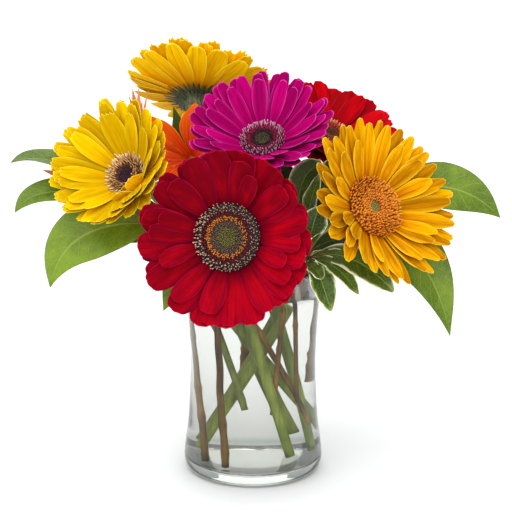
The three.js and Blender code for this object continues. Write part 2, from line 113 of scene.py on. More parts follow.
def newMaterial(name, roughness, **sockets):
    material = bpy.data.materials.new(name)
    material.use_nodes = True
    shader = material.node_tree.nodes["Principled BSDF"]
    shader.inputs["Roughness"].default_value = roughness
    for socket, value in sockets.items():
        shader.inputs[socket.replace("_", " ")].default_value = value
    return material, material.node_tree, shader


def addNode(tree, kind, inputs=None, **settings):
    node = tree.nodes.new(kind)
    for key, value in settings.items():
        setattr(node, key, value)
    for key, value in (inputs or {}).items():
        if isinstance(value, bpy.types.NodeSocket):
            tree.links.new(value, node.inputs[key])
        else:
            node.inputs[key].default_value = value
    return node


def objectSpot(tree, stretch=(1, 1, 1)):
    spot = addNode(tree, "ShaderNodeTexCoord").outputs["Object"]
    return addNode(tree, "ShaderNodeMapping", {"Vector": spot, "Scale": stretch}).outputs["Vector"]


def sums(tree, operation, a, b=0.0, c=0.0):
    return addNode(tree, "ShaderNodeMath", {0: a, 1: b, 2: c}, operation=operation).outputs[0]


def times(tree, a, b):
    return sums(tree, "MULTIPLY", a, b)


def speckle(tree, scale, stretch=(1, 1, 1), detail=2, roughness=0.5):
    # plain noise in the object's own space
    return addNode(tree, "ShaderNodeTexNoise", {
        "Vector": objectSpot(tree, stretch), "Scale": scale, "Detail": detail, "Roughness": roughness,
    }).outputs["Fac"]


def layerOf(tree, name, output="Fac"):
    return addNode(tree, "ShaderNodeAttribute", attribute_name=name).outputs[output]


def fromTo(tree, value, low, high, to=(0, 1)):
    inputs = {"Value": value, "From Min": low, "From Max": high, "To Min": to[0], "To Max": to[1]}
    return addNode(tree, "ShaderNodeMapRange", inputs, interpolation_type="SMOOTHSTEP").outputs["Result"]


def ramp(tree, factor, stops):
    node = addNode(tree, "ShaderNodeValToRGB", {"Fac": factor})
    marks = node.color_ramp.elements
    while len(marks) < len(stops):
        marks.new(0.5)
    for mark, (place, colour) in zip(marks, stops):
        mark.position = place
        mark.color = (*tint(*colour), 1)
    return node.outputs["Color"]


def mixed(tree, factor, a, b, blend="MIX"):
    node = addNode(tree, "ShaderNodeMix", {0: factor}, data_type="RGBA", blend_type=blend)
    for index, value in ((6, a), (7, b)):
        if isinstance(value, bpy.types.NodeSocket):
            tree.links.new(value, node.inputs[index])
        else:
            node.inputs[index].default_value = (*tint(*value), 1)
    return node.outputs[2]


def bladeSpots(tree):
    # across from 0 to 1, along from root to tip, aside from the midrib from 0 to 1, and the piece's tone
    flat = addNode(tree, "ShaderNodeUVMap").outputs["UV"]
    spot = addNode(tree, "ShaderNodeSeparateXYZ", {"Vector": flat})
    across, along = spot.outputs["X"], spot.outputs["Y"]
    aside = sums(tree, "ABSOLUTE", sums(tree, "MULTIPLY_ADD", across, 2.0, -1.0))
    return across, along, aside, layerOf(tree, "tone")


def streaks(tree, across, along, tone, fine, coarse=1.4, detail=5):
    # noise drawn out from root to tip, and different on every petal or leaf
    spot = addNode(tree, "ShaderNodeCombineXYZ", {
        "X": sums(tree, "MULTIPLY_ADD", tone, 31.0, times(tree, across, fine)),
        "Y": times(tree, along, coarse),
        "Z": times(tree, tone, 17.0),
    }).outputs["Vector"]
    inputs = {"Vector": spot, "Scale": 1, "Detail": detail}
    return addNode(tree, "ShaderNodeTexNoise", inputs).outputs["Fac"]


def giveRelief(tree, shader, height, strength, distance):
    inputs = {"Height": height, "Strength": strength, "Distance": distance * mm}
    bump = addNode(tree, "ShaderNodeBump", inputs)
    tree.links.new(bump.outputs["Normal"], shader.inputs["Normal"])


# helpers for meshes

def makePiece(bm, name, materials, nodes, thickness=0, levels=0):
    bmesh.ops.scale(bm, vec=(mm, mm, mm), verts=bm.verts)
    mesh = bpy.data.meshes.new(name)
    bm.to_mesh(mesh)
    bm.free()
    mesh.shade_smooth()
    for material in materials:
        mesh.materials.append(material)
    piece = bpy.data.objects.new(name, mesh)
    bpy.context.scene.collection.objects.link(piece)
    if thickness:
        skin = piece.modifiers.new("skin", "SOLIDIFY")
        skin.thickness = thickness * mm
        skin.offset = 0
        skin.material_offset = len(materials) - 1
    if levels:
        rounding = piece.modifiers.new("rounding", "SUBSURF")
        rounding.levels = rounding.render_levels = levels
    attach(piece, "root")
    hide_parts(*nodes)


def turnOnLathe(bm, profile, steps):
    verts = [bm.verts.new((r, 0, z)) for r, z in profile]
    edges = [bm.edges.new(pair) for pair in zip(verts, verts[1:])]
    bmesh.ops.spin(
        bm, geom=verts + edges, axis=(0, 0, 1), cent=(0, 0, 0), angle=2 * math.pi, steps=steps,
        use_merge=True,
    )
    bmesh.ops.remove_doubles(bm, verts=bm.verts, dist=0.001)
    bmesh.ops.recalc_face_normals(bm, faces=bm.faces)


def smoothRail(points, steps):
    # a curve through the points, with `steps` short pieces between each two
    points = [Vector(p) for p in points]
    ends = [points[0] * 2 - points[1], *points, points[-1] * 2 - points[-2]]
    rail = [points[0]]
    for a, b, c, d in zip(ends, ends[1:], ends[2:], ends[3:]):
        reach = (c - b).length / 3
        leave = b + (c - a).normalized() * reach
        arrive = c - (d - b).normalized() * reach
        rail += geometry.interpolate_bezier(b, leave, arrive, c, steps + 1)[1:]
    return rail


def sweep(bm, rail, radius, sides=12, cut=0):
    # a tube along the rail; radius(share of the way) is its half width, and cut the material of its ends
    def ringPlace(i):
        ahead = rail[min(i + 1, len(rail) - 1)] - rail[max(i - 1, 0)]
        return ahead.normalized()

    heading = ringPlace(0)
    spin = Vector((0, 0, 1)).rotation_difference(heading)
    place = Matrix.Translation(rail[0]) @ spin.to_matrix().to_4x4()
    ring = bmesh.ops.create_circle(
        bm, cap_ends=True, segments=sides, radius=radius(0), matrix=place
    )["verts"]
    made = list(ring)
    for face in {f for v in ring for f in v.link_faces}:
        face.material_index = cut
    edges = list({e for v in ring for e in v.link_edges})
    for i in range(1, len(rail)):
        grown = bmesh.ops.extrude_edge_only(bm, edges=edges)["geom"]
        ring = [g for g in grown if isinstance(g, bmesh.types.BMVert)]
        edges = [g for g in grown if isinstance(g, bmesh.types.BMEdge) and g.is_boundary]
        for g in grown:
            if isinstance(g, bmesh.types.BMFace):
                g.material_index = 0
        turn = heading.rotation_difference(ringPlace(i))
        heading = ringPlace(i)
        size = radius(i / (len(rail) - 1)) / radius((i - 1) / (len(rail) - 1))
        for vert in ring:
            vert.co = rail[i] + turn @ ((vert.co - rail[i - 1]) * size)
        made += ring
    last = bmesh.ops.contextual_create(bm, geom=edges)["faces"]
    for face in last:
        face.material_index = cut
    bmesh.ops.recalc_face_normals(bm, faces=list({f for v in made for f in v.link_faces}))


def headFrame(flower):
    front = Vector(flower["facing"]).normalized()
    right = Vector((0, 0, 1)).cross(front).normalized()
    turned = Matrix((right, front.cross(right), front)).transposed().to_4x4()
    return Matrix.Translation(flower["centre"]) @ turned


# glass vase and water, each profile as radius and height

vase = {
    "outside": [
        (44.5, 0), (47.8, 1), (50, 4), (51.1, 8), (51.3, 12), (49.9, 24), (48.2, 38), (46.8, 62),
        (46.4, 86), (47.5, 110), (49.3, 134), (51.7, 155.5),
    ],
    "inside": [
        (48.7, 155.5), (46.3, 134), (44.5, 110), (43.4, 86), (43.8, 62), (45.2, 38), (46.8, 24),
        (46.9, 15), (46.2, 11), (43.4, 8.6), (39, 8),
    ],
    "rim": (50.2, 155.5, 1.5),  # radius, height, and the rounding's own radius
    "bright": 147,  # the rim's glass is clearer from here up
    "floor": 8,
    "waterLevel": 137,
    "sunk": 0.15,  # how far the water reaches into the glass, so that no air shows between them
    "steps": 128,
}


def smoothProfile(points, steps=4):
    return [(p.x, p.z) for p in smoothRail([(r, 0, z) for r, z in points], steps)]


def glassFinish(name, shine):
    material, tree, shader = newMaterial(name, 0.0, IOR=1.5, Transmission_Weight=1.0)
    shader.inputs["Specular Tint"].default_value = (shine, shine, shine, 1)
    giveRelief(tree, shader, speckle(tree, 26, (1, 1, 0.35)), 0.12, 0.6)
    height = addNode(tree, "ShaderNodeSeparateXYZ", {0: objectSpot(tree)}).outputs["Z"]
    body = ramp(tree, fromTo(tree, height, 0.004, 0.014), [(0, (206, 211, 205)), (1, (243, 244, 242))])
    tree.links.new(body, shader.inputs["Base Color"])
    shadow = ramp(tree, fromTo(tree, height, 0.004, 0.035), [
        (0, (14, 16, 15)), (0.5, (120, 124, 122)), (1, (246, 247, 246)),
    ])
    letLightThrough(tree, shader, shadow)
    return material


def letLightThrough(tree, shader, colour):
    # lamps shine through to the stems, which real glass does by caustics
    clear = addNode(tree, "ShaderNodeBsdfTransparent", {"Color": colour})
    path = addNode(tree, "ShaderNodeLightPath")
    either = addNode(tree, "ShaderNodeMixShader", {0: path.outputs["Is Shadow Ray"]})
    tree.links.new(shader.outputs[0], either.inputs[1])
    tree.links.new(clear.outputs[0], either.inputs[2])
    tree.links.new(either.outputs[0], tree.nodes["Material Output"].inputs["Surface"])


def waterFinish():
    material, tree, shader = newMaterial("water", 0.0, IOR=1.33, Transmission_Weight=1.0)
    shader.inputs["Base Color"].default_value = (0.86, 0.86, 0.845, 1)
    shader.inputs["Specular Tint"].default_value = (0.2, 0.2, 0.2, 1)
    giveRelief(tree, shader, speckle(tree, 18), 0.08, 0.5)
    letLightThrough(tree, shader, (0.96, 0.965, 0.955, 1))
    return material


def makeVase():
    centre, height, bend = vase["rim"]
    arc = [
        (centre + bend * math.cos(a), height + bend * math.sin(a))
        for a in (math.radians(d) for d in range(30, 180, 30))
    ]
    bm = bmesh.new()
    outside, inside = smoothProfile(vase["outside"]), smoothProfile(vase["inside"])
    profile = [(0, 0), *outside, *arc, *inside, (0, vase["floor"])]
    turnOnLathe(bm, profile, vase["steps"])
    for face in bm.faces:
        face.material_index = int(face.calc_center_median().z > vase["bright"])
    finishes = [glassFinish("clearGlass", 0.3), glassFinish("clearGlassRim", 0.92)]
    makePiece(bm, "vaseGlass", finishes, ["vase"])

    level = vase["waterLevel"]
    sunk = vase["sunk"]
    wet = [(r + sunk, z) for r, z in inside if z < level - 1]
    edge = wet[0][0]
    meniscus = [(edge - 2.4, level), (edge - 0.9, level + 0.2), (edge + 0.1, level + 0.9)]
    profile = [(0, level), *meniscus, *wet, (0, vase["floor"] - sunk)]
    bm = bmesh.new()
    turnOnLathe(bm, profile, vase["steps"])
    makePiece(bm, "waterFill", [waterFinish()], ["water"])


# stems: the foot in the water, and the neck, where the stem leaves the vase; a crook bends it a little
stemBuild = {
    "neckHeight": 143, "steps": 24, "crookPace": 0.22,
    "knotLength": 0.012, "knotSwell": 0.3, "wander": 0.05,
}
stems = {
    "redFront": {"radius": 3.4, "foot": (24, -22, 16), "neck": (-8, -27)},
    "yellowLeft": {"radius": 3.2, "foot": (37, 10, 26), "neck": (-25, 3)},
    "amberTop": {"radius": 3.3, "foot": (16, 32, 18), "neck": (-14, 30)},
    "magenta": {"radius": 3.2, "foot": (36, -4, 14), "neck": (8, 0)},
    "redBack": {"radius": 3.1, "foot": (-24, 20, 14), "neck": (20, 18)},
    "goldRight": {"radius": 3.3, "foot": (-32, -4, 16), "neck": (28, -11)},
    "alstroemeria": {"radius": 2.2, "foot": (-5, -19, 52), "neck": (-28, 12)},
    "salalLeft": {"radius": 2.8, "foot": (-30, -15, 9.5), "neck": (-39, 4), "crook": 1.4},
    "salalLow": {"radius": 2.6, "foot": (-18, -27, 9.5), "neck": (-25, -31), "crook": 1.8},
    "salalFront": {"radius": 1.9, "foot": (38, -16, 38), "neck": (-11, -15)},
    "salalRight": {"radius": 3.6, "foot": (31, 6, 66), "neck": (38, 6), "crook": 1},
    "salalBack": {"radius": 2.6, "foot": (-4, 26, 64), "neck": (0, 22)},
    "pittosporumLow": {"radius": 1.8, "foot": (29, -21, 58), "neck": (28, -29)},
    "pittosporumHigh": {"radius": 1.7, "foot": (12, -18, 48), "neck": (20, -21)},
}


def growStem(bm, name, upper, thinTo=1.0, knots=0, sides=14):
    # straight from its foot to its neck, then bending to its head
    stem, steps = stems[name], stemBuild["steps"]
    foot, neck = Vector(stem["foot"]), Vector((*stem["neck"], stemBuild["neckHeight"]))
    along = (neck - foot).normalized()
    crook = stem.get("crook", 0)
    low = []
    for i in range(steps):
        sway = noise.noise_vector(Vector((i * stemBuild["crookPace"], *stem["neck"])))
        low.append(foot.lerp(neck, i / steps) + sway * crook * math.sin(math.pi * i / steps))
    rail = low + smoothRail([neck, neck + along * 6, *upper], 6)
    draw = random.Random(name)
    places = [draw.uniform(0.05, 0.95) for _ in range(knots)]

    def radius(s):
        knot = stemBuild["knotLength"]
        swell = sum(math.exp(-(((s - p) / knot) ** 2)) for p in places) * stemBuild["knotSwell"]
        wander = stemBuild["wander"] * noise.noise(Vector((s * 14, len(name), stem["foot"][0])))
        return stem["radius"] * (1 - (1 - thinTo) * max(0, (s - 0.4) / 0.6) + swell + wander)

    sweep(bm, rail, radius, sides, 1)


def stemFinish(name, low, high, roughness, stretch, bump):
    material, tree, shader = newMaterial(name, roughness)
    fibre = speckle(tree, 420, stretch, 4)
    colour = ramp(tree, fromTo(tree, speckle(tree, 45), 0.3, 0.7), [(0.0, low), (1.0, high)])
    dark = (low[0] * 0.5, low[1] * 0.5, low[2] * 0.4)
    colour = mixed(tree, fromTo(tree, fibre, 0.35, 0.7, (0, 0.45)), colour, dark)
    tree.links.new(colour, shader.inputs["Base Color"])
    giveRelief(tree, shader, fibre, 0.5, bump)
    return material


stemMaterials = {
    "green": stemFinish("gerberaStemGreen", (116, 138, 30), (168, 182, 76), 0.5, (1, 1, 0.06), 0.3),
    "cut": stemFinish("cutStem", (150, 158, 92), (190, 194, 130), 0.7, (1, 1, 1), 0.2),
    "woody": stemFinish("woodyStem", (92, 62, 10), (160, 120, 38), 0.75, (1, 1, 0.12), 0.5),
    "alstroemeria": stemFinish(
        "alstroemeriaStemGreen", (116, 128, 40), (150, 156, 70), 0.5, (1, 1, 0.06), 0.2,
    ),
    "calyx": stemFinish("calyxGreen", (62, 76, 50), (130, 138, 104), 0.75, (1, 1, 0.3), 0.3),
}

# Each ring has its count, length, width, cup (the angle that its petals rise at) and curl (how far
# they bend up on the way out). longer: the side where the petals are longer, and how much. Then the
# side whose petals are darkened as painted shade, and how much.
# petal: how round, narrow and toothed the tips are, the depth of the two grooves, how convex it is.
gerberas = {
    "redFront": {
        "centre": (-17, -79.5, 196.6), "facing": (-0.25, -0.94, 0.24), "eyeRadius": 23.5,
        "via": [(-12, -40, 172)],
        "rings": [(17, 44, 20.5, 8, 3), (16, 43.5, 20, 12, 4), (8, 37, 16.5, 15, 5), (4, 31, 13, 19, 6)],
        # the petals on the upper left are darkened as painted shade
        "longer": (3.6, 0.045), "paintedShade": (2.1, 0.75),
        "petal": {"round": 0.15, "narrow": 0.15, "teeth": (0.02, 0.02, 0.02, 0.01), "groove": 0.3,
                  "convex": 0.012, "pleat": 0.1},
        "petalSlot": "crimson_petal", "eyeSlot": "crimson_eye", "seed": 11,
    },
    "yellowLeft": {
        "centre": (-89.2, -14.4, 225.2), "facing": (-0.47, -0.72, 0.52), "eyeRadius": 13.8,
        "via": [(-56, -6, 190)],
        "rings": [(21, 49, 14.5, 35, 4), (20, 48, 14, 40, 4), (15, 43, 12.5, 46, 5)],
        "longer": (-0.33, -0.05),
        "petal": {"round": 0.1, "narrow": 0.5, "teeth": (0.03, 0.045, 0.05), "groove": 0.5,
                  "convex": 0.008, "pleat": 0.25},
        "petalSlot": "lemon_petal", "eyeSlot": "lemon_eye", "seed": 23,
        # petals that don't lie with the rest: three curl over the eye, one curls out to the right
        "stray": [
            {"angle": -0.37, "length": 16, "width": 16, "cup": 80, "curl": 24, "lean": 0.1, "twist": 0.2,
             "sway": 0.1, "pleat": -0.1, "tone": 0.3, "teeth": 0.03, "root": (18, 4)},
            {"angle": -1.0, "length": 14, "width": 16, "cup": 72, "curl": 30, "lean": 0, "twist": -0.2,
             "sway": 0.25, "pleat": -0.1, "tone": 0.6, "teeth": 0.03, "root": (20, 5)},
            {"angle": -0.72, "length": 17, "width": 12, "cup": 54, "curl": 26, "lean": 0.3, "twist": 0.1,
             "sway": 0, "pleat": 0.1, "tone": 0.5, "teeth": 0.03},
            {"angle": 0.05, "length": 50, "width": 5, "cup": 33, "curl": -24, "lean": 1.0, "twist": 0.5,
             "sway": 0.12, "pleat": 0.5, "tone": 0.5, "teeth": 0.02},
        ],
    },
    "amberTop": {
        "centre": (-40, 52.5, 272), "facing": (0.12, 0.64, 0.76), "eyeRadius": 15,
        "via": [(-30, 36, 205)],
        "rings": [(19, 47, 18, 10, 8), (19, 48, 15.5, 14, 8), (16, 46, 13, 21, 8)],
        "petal": {"round": 0.17, "narrow": 0.3, "teeth": (0.006, 0.04, 0.06), "groove": 0.3,
                  "convex": 0.012, "pleat": 0.15},
        "petalSlot": "amber_petal", "eyeSlot": "amber_eye", "seed": 37,
    },
    "magenta": {
        "centre": (7, -19.5, 251.6), "facing": (-0.12, -0.57, 0.81), "eyeRadius": 15,
        "via": [(8, -3, 205)],
        "rings": [(21, 45.5, 12.5, 25, 4), (20, 44.5, 12, 30, 5), (14, 38, 10.5, 36, 6)],
        "petal": {"round": 0.13, "narrow": 0.4, "teeth": (0.01, 0.014, 0.016), "groove": 0.45,
                  "convex": 0.018, "pleat": 0.18},
        "petalSlot": "magenta_petal", "eyeSlot": "magenta_eye", "seed": 41,
    },
    "redBack": {
        "centre": (56, 32, 244.5), "facing": (0.38, -0.36, 0.85), "eyeRadius": 16,
        "via": [(34, 28, 195)],
        "rings": [(16, 44.5, 18, 14, 5), (15, 43, 17.5, 19, 6), (10, 37, 15, 27, 8)],
        "longer": (-0.73, 0.08),
        "petal": {"round": 0.16, "narrow": 0.25, "teeth": (0.02, 0.03, 0.03), "groove": 0.35,
                  "convex": 0.012, "pleat": 0.12},
        "petalSlot": "scarlet_petal", "eyeSlot": "scarlet_eye", "seed": 53,
    },
    "goldRight": {
        "centre": (84.5, -44, 209), "facing": (0.55, -0.67, 0.5), "eyeRadius": 21,
        "via": [(52, -14, 186)],
        "rings": [(20, 49, 12.5, 20, 4), (20, 47, 12, 25, 5), (12, 36, 11, 31, 5)],
        "petal": {"round": 0.12, "narrow": 0.7, "teeth": (0.01, 0.01, 0.01), "groove": 0.4,
                  "convex": 0.018, "pleat": 0.15},
        "petalSlot": "gold_petal", "eyeSlot": "gold_eye", "seed": 67,
    },
}

petalBuild = {
    "across": 12, "along": 10, "thickness": 0.5, "lean": 0.1,
    "shoulder": 0.66, "rootWidth": 0.32,  # where it is widest, and its width at the root, as shares
}


def petalOutline(s, narrow):
    shoulder, rootWidth = petalBuild["shoulder"], petalBuild["rootWidth"]
    swell = rootWidth + (1 - rootWidth) * math.sin(math.pi / 2 * min(1, s / shoulder))
    past = max(0, (s - shoulder) / (1 - shoulder))
    return swell * math.sqrt(1 - narrow * past * past)


def addPetal(bm, toneLayer, look, size, root):
    # size: length, width, cup, curl, angle, lean, twist, sway, tone
    made = bmesh.ops.create_grid(
        bm, x_segments=petalBuild["across"], y_segments=petalBuild["along"], size=1, calc_uvs=True
    )
    rise, bend = math.radians(size["cup"]), math.radians(size["curl"])
    turn = Matrix.Rotation(size["angle"], 3, "Z")
    for vert in made["verts"]:
        x, s = vert.co.x, (vert.co.y + 1) / 2
        tooth = 0.5 - 0.5 * math.cos(3 * math.pi * x)
        rounded = look["round"] * (1 - math.sqrt(1 - abs(x) ** 2.2)) * s**4
        reach = s - rounded - size["teeth"] * tooth * s**8
        half = size["width"] / 2 * petalOutline(s, look["narrow"]) * x
        lean = size["lean"] + size["twist"] * s
        groove = -look["groove"] * tooth * math.sin(math.pi * min(1, s * 0.96)) ** 0.5 * (1 - x**6)
        turned = rise + bend * reach / 2
        out = size["length"] * reach * math.cos(turned)
        lift = size["length"] * reach * math.sin(turned)
        aside = half * math.cos(lean) + size["sway"] * size["length"] * s**2
        ripple = 0.35 * noise.noise(Vector((x * 1.2, s * 3, size["tone"] * 50)))
        height = half * math.sin(lean) - look["convex"] * half**2 + groove
        height += ripple * s + size["pleat"] * abs(half) * s
        vert.co = turn @ Vector((root[0] + out, -aside, root[1] + lift + height))
        vert[toneLayer] = size["tone"]


def makePetals(name, flower):
    draw = random.Random(flower["seed"])
    bm = bmesh.new()
    bm.loops.layers.uv.new("UVMap")
    toneLayer = bm.verts.layers.float.new("tone")
    longSide, longer = flower.get("longer", (0, 0))
    shadeSide, paintedShade = flower.get("paintedShade", (0, 0))
    for layer, (count, length, width, cup, curl) in enumerate(flower["rings"]):
        step = 2 * math.pi / count
        for i in range(count):
            angle = step * (i + 0.5 * layer + (0.3 if layer < 2 else 0.8) * (draw.random() - 0.5))
            size = {
                "angle": angle,
                "length": length * draw.uniform(0.955, 1.02) * (1 + longer * math.cos(angle - longSide)),
                "width": width * draw.uniform(0.9, 1.06),
                "cup": cup + draw.uniform(-2, 2),
                "curl": curl + draw.uniform(-5, 5),
                "lean": petalBuild["lean"] * draw.uniform(0.4, 1.4),
                "twist": draw.uniform(-0.16, 0.16),
                "sway": draw.uniform(-0.05, 0.05),
                "pleat": flower["petal"]["pleat"] * draw.uniform(-0.6, 1),
                "teeth": flower["petal"]["teeth"][layer] * draw.uniform(0.5, 1.5),
                # tone: random for each petal, and raised towards one side as painted shade where the
                # flower has one
                "tone": draw.random() * (1 - paintedShade) + paintedShade * (0.5 + 0.5 * math.cos(angle - shadeSide)),
            }
            addPetal(bm, toneLayer, flower["petal"], size, (flower["eyeRadius"] - 4, -2.6 + 0.8 * layer))
    for size in flower.get("stray", []):
        addPetal(bm, toneLayer, flower["petal"], size, size.get("root", (flower["eyeRadius"] - 3, 1)))
    bmesh.ops.transform(bm, matrix=headFrame(flower), verts=bm.verts)
    makePiece(
        bm, name + "Petals", petalFinishes[name], [name + "_petals"],
        thickness=petalBuild["thickness"], levels=1,
    )


def petalFinish(name, root, middle, tip, groove, edge, highlightLine, deep=0.3, edgeShare=0.3):
    material, tree, shader = newMaterial(
        name, 0.6, Subsurface_Weight=0.08, Subsurface_Scale=0.0012, Specular_IOR_Level=0.02,
    )
    shader.inputs["Subsurface Radius"].default_value = (1.0, 0.4, 0.2)
    across, along, aside, tone = bladeSpots(tree)
    fibre = streaks(tree, across, along, tone, 16)
    broad = streaks(tree, across, along, tone, 3, 2.2, 2)
    # root to tip; the dark root is painted shade where the petals overlap near the eye
    colour = ramp(tree, along, [(0.08, root), (0.42, middle), (0.95, tip)])
    # petals of high tone are darkened: random tone, and painted shade on a flower's shaded side
    shade = tuple(c * (1 - deep) for c in middle)
    dim = fromTo(tree, sums(tree, "MULTIPLY_ADD", tone, 0.6, broad), 0.45, 1.15, (0, 0.9))
    colour = mixed(tree, dim, colour, shade)
    # streaks and ribs take the groove colour: partly the petal's own streaks, partly painted shade in its
    # grooves
    colour = mixed(tree, fromTo(tree, fibre, 0.42, 0.68, (0, 0.5)), colour, groove)
    waves = sums(tree, "ABSOLUTE", sums(tree, "COSINE", times(tree, across, 3 * math.pi)))
    ribs = times(tree, sums(tree, "POWER", waves, 10.0), fromTo(tree, aside, 0.95, 0.6))
    ribs = times(tree, ribs, fromTo(tree, broad, 0.3, 0.65))
    colour = mixed(tree, times(tree, ribs, 0.4), colour, groove)
    colour = mixed(tree, fromTo(tree, aside, 0.45, 1.0, (0, edgeShare)), colour, edge)
    # a thin painted highlight along the edges and the tip
    rim = sums(tree, "MAXIMUM", fromTo(tree, aside, 0.9, 0.99), fromTo(tree, along, 0.975, 0.995))
    rim = times(tree, rim, fromTo(tree, along, 0.25, 0.5))
    colour = mixed(tree, times(tree, rim, 0.65), colour, highlightLine)
    tree.links.new(colour, shader.inputs["Base Color"])
    giveRelief(tree, shader, sums(tree, "SUBTRACT", times(tree, fibre, 0.9), ribs), 0.55, 0.35)
    return material


# The name of the colour, then for the front and the back of the petals: root (dark as painted shade where
# the petals overlap), middle, tip, grooves (the streaks' own colour and painted shade in the grooves),
# edge, the thin painted highlight along it, how much dimmer some petals are (random tone, and painted
# shade on a shaded side) and how much the edge shows
petalColours = {
    "redFront": ("crimson", [
        ((78, 0, 16), (172, 0, 18), (166, 0, 24), (108, 0, 24), (104, 0, 34), (196, 16, 54), 0.42, 0.55),
        ((120, 10, 28), (140, 14, 34), (150, 20, 40), (110, 8, 28), (120, 10, 32), (170, 40, 60)),
    ]),
    "yellowLeft": ("lemon", [
        ((206, 148, 0), (230, 184, 0), (244, 206, 0), (198, 142, 0), (248, 218, 10), (255, 238, 80), 0.16),
        ((224, 168, 6), (240, 188, 8), (244, 200, 16), (212, 152, 4), (244, 204, 20), (252, 226, 70),
         0.14),
    ]),
    "amberTop": ("amber", [
        ((232, 156, 0), (248, 190, 0), (252, 206, 0), (226, 146, 0), (252, 214, 10), (255, 232, 70), 0.1),
        ((232, 140, 0), (246, 180, 0), (255, 210, 2), (210, 134, 0), (255, 216, 10), (255, 234, 70), 0.14),
    ]),
    "magenta": ("magenta", [
        ((134, 0, 66), (178, 0, 98), (192, 0, 112), (128, 0, 76), (206, 16, 134), (232, 100, 190),
         0.2, 0.45),
        ((160, 30, 118), (176, 44, 134), (188, 56, 146), (146, 26, 112), (196, 70, 152), (226, 120, 196)),
    ]),
    "redBack": ("scarlet", [
        ((120, 0, 10), (192, 0, 10), (202, 0, 14), (134, 0, 12), (112, 0, 14), (214, 40, 50), 0.3, 0.5),
        ((140, 16, 26), (162, 24, 34), (172, 30, 40), (130, 10, 22), (130, 10, 28), (190, 50, 60)),
    ]),
    "goldRight": ("gold", [
        ((184, 88, 0), (218, 144, 0), (242, 178, 0), (156, 74, 0), (250, 194, 8), (255, 226, 90),
         0.26, 0.5),
        ((196, 112, 4), (218, 140, 6), (226, 150, 10), (184, 100, 2), (230, 164, 24), (250, 206, 90), 0.2),
    ]),
}
petalFinishes = {
    flower: [petalFinish(colour + side, *row) for side, row in zip(("Petal", "PetalBack"), rows)]
    for flower, (colour, rows) in petalColours.items()
}

# The eyes. A zone is a ring of florets: their kind, the radii that it runs between, how many, their half
# width and height, the colours of foot and tip, and how far they lean out, in degrees. A bud is a small
# closed dome, and a pin a thin stalk with a knob. bed: the colour between them.
eyes = {
    "redFront": {
        "bed": (34, 10, 12),
        "zones": [
            ("bud", (0, 6.5), 130, (0.42, 1.6), (58, 50, 20), (150, 144, 56), 4),
            ("bud", (6.5, 11.6), 260, (0.42, 1.6), (52, 40, 26), (130, 106, 74), 8),
            ("bud", (11.4, 14.4), 190, (0.46, 2.8), (140, 24, 14), (250, 152, 52), 12),
            ("bud", (14.2, 18.6), 190, (0.6, 2.8), (46, 2, 8), (124, 6, 16), 16),
            ("pin", (16.8, 22.9), 300, (0.38, 3.3), (34, 2, 8), (250, 206, 176), 18),
        ],
    },
    "yellowLeft": {
        "bed": (92, 56, 34),
        "zones": [
            ("bud", (0, 6), 130, (0.5, 1.8), (26, 8, 26), (74, 36, 66), 6),
            ("pin", (6, 10.4), 110, (0.6, 3.8), (122, 70, 40), (244, 196, 136), 24),
            ("pin", (10, 15.6), 210, (0.72, 5), (190, 132, 76), (255, 226, 176), 50),
        ],
    },
    "amberTop": {
        "bed": (84, 50, 26),
        "zones": [
            ("bud", (0, 6.6), 120, (0.45, 1.7), (50, 26, 20), (120, 72, 40), 6),
            ("pin", (6.2, 15), 200, (0.6, 4.4), (150, 90, 40), (240, 180, 90), 40),
        ],
    },
    "magenta": {
        "bed": (50, 6, 26),
        "zones": [
            ("bud", (0, 5), 90, (0.42, 1.6), (16, 16, 12), (96, 98, 60), 6),
            ("bud", (5, 8), 90, (0.46, 2), (22, 4, 12), (70, 16, 34), 12),
            ("bud", (8, 11.6), 120, (0.5, 2.6), (120, 4, 50), (190, 20, 84), 18),
            ("pin", (10.4, 15.4), 170, (0.46, 3.2), (126, 0, 66), (238, 180, 204), 20),
        ],
    },
    "redBack": {
        "bed": (90, 16, 12),
        "zones": [
            ("bud", (0, 7), 120, (0.5, 1.8), (60, 26, 14), (140, 80, 34), 6),
            ("bud", (7, 12), 130, (0.55, 2.6), (150, 20, 14), (214, 66, 34), 14),
            ("pin", (11, 16.2), 150, (0.5, 3.2), (190, 30, 24), (252, 196, 140), 22),
        ],
    },
    "goldRight": {
        "bed": (150, 66, 6),
        "zones": [
            ("bud", (0, 4.4), 80, (0.45, 1.1), (92, 96, 34), (158, 166, 78), 0),
            ("bud", (4.4, 12), 230, (0.7, 3), (180, 86, 6), (242, 150, 40), 8),
            ("pin", (11, 21.4), 400, (0.66, 3.4), (216, 106, 4), (255, 170, 44), 22),
        ],
    },
}

goldenAngle = math.pi * (3 - math.sqrt(5))


def floretPattern(kind):
    # one floret at unit size, standing up along Z; `rise` is 0 at its foot and 1 at its tip
    bm = bmesh.new()
    riseLayer = bm.verts.layers.float.new("rise")
    if kind == "bud":
        bmesh.ops.create_uvsphere(bm, u_segments=6, v_segments=4, radius=1)
        bmesh.ops.scale(bm, vec=(1, 1, 0.5), verts=bm.verts)
        bmesh.ops.translate(bm, vec=(0, 0, 0.5), verts=bm.verts)
    else:
        rail = [Vector((0.3 * s * s, 0, s)) for s in (0, 0.4, 0.74, 0.9, 1)]
        widths = {0: 0.9, 0.25: 0.7, 0.5: 0.75, 0.75: 1.15, 1: 0.45}
        sweep(bm, rail, lambda s: widths[round(s * 4) / 4], 5)
    for vert in bm.verts:
        vert[riseLayer] = min(1, max(0, vert.co.z))
    mesh = bpy.data.meshes.new(kind + "Pattern")
    bm.to_mesh(mesh)
    bm.free()
    return mesh


patterns = {kind: floretPattern(kind) for kind in ("bud", "pin")}
